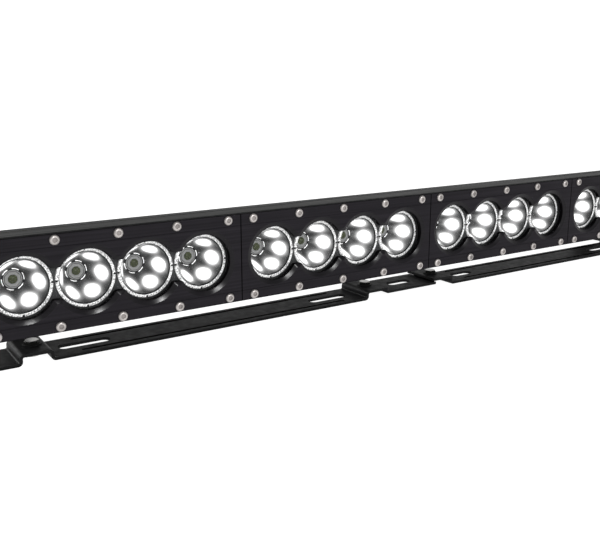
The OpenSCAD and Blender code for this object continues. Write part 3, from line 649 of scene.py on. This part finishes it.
def face_plate(number):
    """One scalloped face plate with rounded edges, chamfered openings, fine lines and screw recesses."""
    bm = bmesh.new()
    at = (MODULE_X[number], ROW_Z)
    back = (BEZEL_BACK_Y - FACE_Y) / MM
    plate_levels = [(0.34, 0.0), (0.3, 0.0), (0.12, 0.04), (0.03, 0.13), (0.0, 0.3), (0.0, back)]
    opening_levels = [
        (-0.1, 0.0), (-0.065, 0.0), (-0.03, 0.012), (0.02, 0.07), (0.07, 0.145), (0.3, 0.48), (0.6, 0.96),
        (0.9, 1.44), (0.95, 1.53), (0.985, 1.64), (1.0, 1.8), (1.0, back),
    ]
    recess_levels = [(3.92, 0.0), (3.88, 0.01), (3.85, 0.06), (3.85, 0.6), (2.2, 0.6), (2.2, back)]

    def wall(outline, levels, where):
        loops = [add_loop(bm, outline(value), FACE_Y + y * MM, where) for value, y in levels]
        for a, b in zip(loops, loops[1:]):
            bridge(bm, a, b)
        return loops

    plate = wall(lambda inset: plate_outline(inset * MM), plate_levels, at)
    for loop in plate[:-1]:
        for vert in loop:
            if abs(abs(vert.co.z - ROW_Z) - LINE_Z) < LINE_HALF / 2:
                vert.co.y = max(vert.co.y, FACE_Y + LINE_DEPTH * MM)
    opening = wall(opening_outline, opening_levels, at)
    chamfer_coat, edge_shade_coat = 1, 2
    # the plate's edges and the opening walls take the darkest copy of the face coat, painted shade; the
    # chamfers take the half-bright copy
    for loops, slot in ((plate, edge_shade_coat), (opening[3:9], chamfer_coat), (opening[8:], edge_shade_coat)):
        verts = {vert for loop in loops for vert in loop}
        for face in {f for vert in verts for f in vert.link_faces}:
            if all(vert in verts for vert in face.verts):
                face.material_index = slot
    recesses = {}
    for side in (-1, 1):
        z = SCREW_MID + side * SCREW_ROW
        recesses[side] = [
            wall(lambda r: circle_points(r * MM, RECESS_STEPS), recess_levels, (at[0] + dx, z))
            for dx in SCREW_DX
        ]
    front = plate[0]
    last = len(front) - 1

    def band(i):
        """Corners of the strip of the front between a side point and the next one up."""
        return [front[i], front[i + 1], front[last - i - 1], front[last - i]]

    toward_front = Vector((0, -1, 0))
    fill_flat(bm, [band(0), *(r[0] for r in recesses[-1])], toward_front)
    fill_flat(bm, [band(3), opening[0]], toward_front)
    fill_flat(bm, [band(6), *(r[0] for r in recesses[1])], toward_front)
    for i in (1, 2, 4, 5):
        bm.faces.new(band(i))
    backs = [plate[-1], opening[-1]] + [r[-1] for side in (-1, 1) for r in recesses[side]]
    fill_flat(bm, backs, Vector((0, 1, 0)))
    obj = mesh_object(f"face_plate_{number + 1}", bm, [FACE, CHAMFER, EDGE_SHADE])
    return ride_and_slot(obj, "bar", "face", f"bezel_{number + 1}")


for module in range(MODULES):
    face_plate(module)

# ---------- turned pieces ----------


def turned(bm, levels, angles, close=False):
    """Turns (radius, depth, slot) levels about the local Y axis. A radius may be a function of angle."""
    loops = []
    for radius, y, _ in levels:
        ring = []
        for a in angles:
            r = radius(a) if callable(radius) else radius
            ring.append(bm.verts.new((r * MM * math.cos(a), y * MM, r * MM * math.sin(a))))
        loops.append(ring)
    pairs = list(zip(range(len(loops)), range(1, len(loops))))
    if close:
        pairs.append((len(loops) - 1, 0))
    for a, b in pairs:
        bridge(bm, loops[a], loops[b], levels[b][2])
    return loops


def even_angles(count):
    return [TURN * i / count for i in range(count)]


def flats(sides, across):
    """Radius of a regular polygon at an angle, from its width across flats."""
    step = TURN / sides
    return lambda a: across / 2 / math.cos((a + step / 2) % step - step / 2)


def cap_loop(bm, loop, slot=0):
    """Closes a loop with one face."""
    bm.faces.new(loop).material_index = slot


# ---------- face screws ----------

SCREW_STEPS = 36
HEAD_DOME_STEPS = 7
HEAD_CORE_R = 2.0
HEAD_ROUND_R = 1.7
HEAD_SKIRT_Y = -0.1
HEAD_SEAT_Y = 0.6
HEAD_EDGE_Y = 0.55
SHANK_R = 1.95
SOCKET_ACROSS = 3
SOCKET_MOUTH_R = 1.9
SOCKET_DEPTH = 0.55
SOCKET_BEVEL = 0.15
SPIN_STEP = 2.4


def screw_levels():
    """Levels of a button head with a shallow hexagon socket, from the socket floor outwards."""
    front = SCREW_FRONT / MM
    metal, inside = 0, 1
    levels = [
        (flats(6, SOCKET_ACROSS), front + SOCKET_DEPTH, inside),
        (flats(6, SOCKET_ACROSS), front + SOCKET_BEVEL, inside),
        (SOCKET_MOUTH_R, front, inside),
    ]
    for i in range(HEAD_DOME_STEPS + 1):
        a = math.pi / 2 * (1 - i / HEAD_DOME_STEPS)
        y = HEAD_SKIRT_Y - (HEAD_SKIRT_Y - front) * math.sin(a)
        levels.append((HEAD_CORE_R + HEAD_ROUND_R * math.cos(a), y, metal))
    levels += [
        (SCREW_HEAD_R / MM, HEAD_EDGE_Y, metal),
        (SHANK_R, HEAD_SEAT_Y, metal),
        (SHANK_R, SCREW_BACK / MM, metal),
    ]
    return levels


def face_screws():
    """All the button-head screws of the face plates as one piece."""
    single = bmesh.new()
    loops = turned(single, screw_levels(), even_angles(SCREW_STEPS))
    cap_loop(single, loops[0], 1)
    cap_loop(single, loops[-1])
    mesh = bpy.data.meshes.new("screw_pattern")
    single.to_mesh(mesh)
    single.free()
    bm = bmesh.new()
    for count, (module, dx, side) in enumerate(
        (m, dx, side) for m in range(MODULES) for dx in SCREW_DX for side in (-1, 1)
    ):
        start = len(bm.verts)
        bm.from_mesh(mesh)
        bm.verts.ensure_lookup_table()
        spin = Matrix.Rotation(count * SPIN_STEP, 4, "Y")
        place = Matrix.Translation((MODULE_X[module] + dx, FACE_Y, SCREW_MID + side * SCREW_ROW))
        bmesh.ops.transform(bm, matrix=place @ spin, verts=bm.verts[start:])
    bpy.data.meshes.remove(mesh)
    obj = mesh_object("face_screws", bm, [SCREW_STEEL, SOCKET_SHADE_STEEL], 40)
    return ride_and_slot(obj, "bar", "steel", "bezel_screws")


face_screws()

# ---------- reflectors ----------

CUP_HOLE_R = 8.2
CUP_MOUTH_R = 19.2
CUP_MOUTH_Y = 9.6
CUP_WALL = 0.9
CUP_STEPS = 22
PIT_R = 0.85
PIT_INSET = 0.8
PIT_DEPTH = 1.0
QUARTER = TURN / 4
PIT_SPAN = math.radians(2.35)
PIT_STEPS = (0.7, 1.4, 1.9, 2.3, 2.5)
CUP_SEGMENTS = 180
ANGLE_DIGITS = 6
cup_angles = [TURN * i / CUP_SEGMENTS for i in range(CUP_SEGMENTS)]
for quarter in range(4):
    for step in PIT_STEPS:
        for way in (-1, 1):
            cup_angles.append((quarter * QUARTER + way * math.radians(step)) % TURN)
CUP_ANGLES = sorted({round(a, ANGLE_DIGITS) for a in cup_angles})
LIP_ARCS = 6
LIP_START = math.radians(-6)
LIP_SPAN = math.radians(36)
LIP_INNER_R = 7.75
LIP_OUTER_R = 8.0
LIP_BEVEL = 0.05
LIP_STEPS = 10


def cup_radius(t):
    """Radius of the parabolic cup, from its mouth at 0 to its hole at 1."""
    return math.sqrt(CUP_MOUTH_R**2 + (CUP_HOLE_R**2 - CUP_MOUTH_R**2) * t)


def off_quarter(a):
    """Angle from the nearest of the four quarter points."""
    return (a + QUARTER / 2) % QUARTER - QUARTER / 2


def pitted(radius):
    """A rim radius that steps in round the pit at each quarter point."""
    centre = RIM_R / MM - PIT_INSET

    def at(a):
        beside = centre * math.sin(off_quarter(a))
        if abs(beside) >= PIT_R:
            return radius
        return min(radius, centre * math.cos(off_quarter(a)) - math.sqrt(PIT_R**2 - beside**2))

    return at


def arc_bar(bm, start, span, inner, outer, front, back, slot):
    """A short curved bar about the lamp axis, with bevelled front edges."""
    corners = (
        (inner, back), (inner, front + LIP_BEVEL), (inner + LIP_BEVEL, front),
        (outer - LIP_BEVEL, front), (outer, front + LIP_BEVEL), (outer, back),
    )
    rows = []
    for i in range(LIP_STEPS + 1):
        a = start + span * i / LIP_STEPS
        rows.append([bm.verts.new((r * MM * math.cos(a), y * MM, r * MM * math.sin(a))) for r, y in corners])
    for a, b in zip(rows, rows[1:]):
        bridge(bm, a, b, slot)
    cap_loop(bm, rows[0], slot)
    cap_loop(bm, rows[-1], slot)


def reflector_mesh():
    """One reflector about its own axis: pitted rim, joint line, parabolic cup and six lip arcs that carry a
    glowing painted highlight.
    """
    rim = RIM_R / MM
    front = RIM_FRONT / MM
    back = CUP_BACK / MM
    ring, joint, cup, lip = 0, 1, 2, 3
    levels = [
        (rim, front + 1.5, ring), (rim, front + PIT_DEPTH, ring),
        (pitted(rim), front + PIT_DEPTH, ring), (pitted(rim), front + 0.4, ring),
        (pitted(rim - 0.1), front + 0.14, ring), (pitted(rim - 0.35), front + 0.02, ring),
        (pitted(rim - 0.7), front, ring), (pitted(rim - 1.45), front, ring), (20.1, front, ring),
        (19.93, front + 0.05, ring), (19.86, front + 0.2, joint), (19.62, front + 1.0, joint),
        (19.45, front + 1.15, joint), (CUP_MOUTH_R, CUP_MOUTH_Y, joint),
    ]
    for i in range(1, CUP_STEPS + 1):
        t = i / CUP_STEPS
        levels.append((cup_radius(t), CUP_MOUTH_Y + (back - CUP_MOUTH_Y) * t, cup))
    for i in range(CUP_STEPS, 0, -2):
        t = i / CUP_STEPS
        levels.append((cup_radius(t) + CUP_WALL, CUP_MOUTH_Y + (back - CUP_MOUTH_Y) * t, ring))
    levels += [(CUP_MOUTH_R + CUP_WALL, front + 1.9, ring), (CUP_MOUTH_R + 1.5, front + 1.5, ring)]
    bm = bmesh.new()
    loops = turned(bm, levels, CUP_ANGLES, close=True)
    pit_floor = (front + PIT_DEPTH) * MM + TINY
    # the pit faces take the near-black joint material: painted shade in the pits
    for face in {f for loop in loops[2:4] for vert in loop for f in vert.link_faces}:
        centre = face.calc_center_median()
        beside = abs(off_quarter(math.atan2(centre.z, centre.x)))
        if beside < PIT_SPAN and centre.y < pit_floor:
            face.material_index = joint
    for number in range(LIP_ARCS):
        start = LIP_START + number * TURN / LIP_ARCS
        arc_bar(bm, start, LIP_SPAN, LIP_INNER_R, LIP_OUTER_R, back - 0.2, back + 0.4, lip)
    return bm


def on_every_lamp(name, bm, materials, slot, node):
    """Puts one mesh on each lamp axis as its own object, standing for a CAD node.

    A pair of braces in the node's name takes the module's number.
    """
    first = mesh_object(f"{name}_1_1", bm, materials)
    for m in range(MODULES):
        for k in range(LAMPS):
            if m == 0 and k == 0:
                obj = first
            else:
                obj = bpy.data.objects.new(f"{name}_{m + 1}_{k + 1}", first.data)
                bpy.context.scene.collection.objects.link(obj)
            obj.location = (MODULE_X[m] + LAMP_DX[k], FACE_Y, ROW_Z)
            ride_and_slot(obj, "bar", slot, node.format(m + 1))


on_every_lamp("reflector", reflector_mesh(), [RIM, SHADOW_LINE, CUP, LIP], "mirror", "reflectors_{}")

# ---------- emitters ----------

STAR_SEGMENTS = 96
STAR_R = 6.75
STAR_T = 0.7
STAR_BEVEL = 0.12
GROOVE_DEPTH = 0.3
BODY_R = 4.6
BODY_RISE = 0.02


def emitter_mesh():
    """Star base with an eight-sided groove, eight-sided ceramic body and a domed chip."""
    board = BOARD_FRONT / MM
    top = board - STAR_T
    star, chip, groove = 0, 1, 2
    levels = [
        (STAR_R, board, star), (STAR_R, top + STAR_BEVEL, star), (STAR_R - STAR_BEVEL, top, star),
        (flats(8, 11.7), top, star), (flats(8, 11.55), top + GROOVE_DEPTH, groove),
        (flats(8, 11.1), top + GROOVE_DEPTH, groove), (flats(8, 10.95), top, groove),
        (BODY_R, top - BODY_RISE, star), (flats(8, 6.7), top - BODY_RISE, star),
        (flats(8, 6.55), top - 0.25, groove), (flats(8, 6.2), top - 0.6, chip),
        (flats(8, 5.9), top - 0.72, chip), (2.3, top - 0.75, chip),
        (2.1, top - 0.95, chip), (1.6, top - 1.25, chip), (0.8, top - 1.42, chip),
    ]
    bm = bmesh.new()
    loops = turned(bm, levels, even_angles(STAR_SEGMENTS))
    cap_loop(bm, loops[0])
    cap_loop(bm, loops[-1], chip)
    return bm


on_every_lamp("emitter", emitter_mesh(), [STAR, CHIP, SHADOW_LINE], "emitter", "led_emitters")

# ---------- floor, light and camera ----------

FLOOR_HALF = 20
FLOOR_GAP = 0.2 * MM
FLOOR_GLOW = 0.97
HORIZON_HEIGHT = 0.15
CEILING_HEIGHT = 0.4
HORIZON_LIGHT = 1.05
CEILING_LIGHT = 0.3
KEY_DIRECTION = Vector((0.04, -0.9, 0.4))
KEY_DISTANCE = 3.4
KEY_SIZE = (0.45, 0.45)
KEY_POWER = 56
REAR_DIRECTION = Vector((-0.55, 0.72, 0.42))
REAR_DISTANCE = 2.6
REAR_SIZE = (1.4, 0.9)
REAR_POWER = 45
SENSOR_WIDTH = 36
FOCAL_LENGTH = 46.43
NEAR_CLIP = 0.01
CAMERA_RIGHT = Vector((0.8368, -0.5476, -0.0011))
CAMERA_FORWARD = Vector((0.5321, 0.8136, -0.2343))
CAMERA_OFFSET = Vector((-496.9, -535.2, 139.9)) * MM


def floor():
    """A plain white floor under the strap, bright enough to lose its shadows."""
    bm = bmesh.new()
    bmesh.ops.create_grid(bm, x_segments=1, y_segments=1, size=FLOOR_HALF)
    s = Shader("studio_floor", (0.3, 0.3, 0.3), 0.8)
    s.set("Specular IOR Level", 0.0)
    s.set("Emission Color", (1.0, 1.0, 1.0, 1.0))
    s.set("Emission Strength", FLOOR_GLOW)
    obj = mesh_object("studio_floor", bm, [s.material])
    obj.location.z = cad_low.z - FLOOR_GAP


def softbox(name, location, target, size, power):
    """A rectangular area light aimed at a point."""
    light = bpy.data.lights.new(name, "AREA")
    light.shape = "RECTANGLE"
    light.size, light.size_y = size
    light.energy = power
    obj = bpy.data.objects.new(name, light)
    bpy.context.scene.collection.objects.link(obj)
    obj.location = location
    obj.rotation_mode = "QUATERNION"
    obj.rotation_quaternion = (Vector(target) - Vector(location)).to_track_quat("-Z", "Y")


def studio():
    """White horizon under a darker ceiling, a small soft key in front and a wide fill behind."""
    world = bpy.data.worlds.new("studio")
    bpy.context.scene.world = world
    world.use_nodes = True
    tree = world.node_tree
    background = tree.nodes["Background"]
    direction = tree.nodes.new("ShaderNodeTexCoord").outputs["Generated"]
    split = tree.nodes.new("ShaderNodeSeparateXYZ")
    tree.links.new(direction, split.inputs[0])
    ramp = tree.nodes.new("ShaderNodeMapRange")
    tree.links.new(split.outputs[2], ramp.inputs["Value"])
    levels = (HORIZON_HEIGHT, CEILING_HEIGHT, HORIZON_LIGHT, CEILING_LIGHT)
    for socket, value in zip(RANGE_SOCKETS, levels):
        ramp.inputs[socket].default_value = value
    tree.links.new(ramp.outputs["Result"], background.inputs["Strength"])
    background.inputs["Color"].default_value = (1.0, 1.0, 1.0, 1.0)
    middle = Vector((0.0, 0.0, ROW_Z))
    key = middle + KEY_DISTANCE * KEY_DIRECTION.normalized()
    softbox("front_key", key, middle, KEY_SIZE, KEY_POWER)
    rear = middle + REAR_DISTANCE * REAR_DIRECTION.normalized()
    softbox("rear_fill", rear, middle, REAR_SIZE, REAR_POWER)


def camera():
    """Camera in front of the left end, a little above the bar, looking along it to the right."""
    data = bpy.data.cameras.new("camera")
    data.sensor_width = SENSOR_WIDTH
    data.lens = FOCAL_LENGTH
    data.clip_start = NEAR_CLIP
    obj = bpy.data.objects.new("camera", data)
    bpy.context.scene.collection.objects.link(obj)
    forward = CAMERA_FORWARD.normalized()
    right = (CAMERA_RIGHT - forward * CAMERA_RIGHT.dot(forward)).normalized()
    up = right.cross(forward)
    turn = Matrix((right, up, -forward)).transposed()
    spot = Vector((0.0, FACE_Y, ROW_Z)) + CAMERA_OFFSET
    obj.matrix_world = Matrix.Translation(spot) @ turn.to_4x4()
    bpy.context.scene.camera = obj


floor()
studio()
camera()
bpy.context.scene.view_settings.view_transform = "Standard"
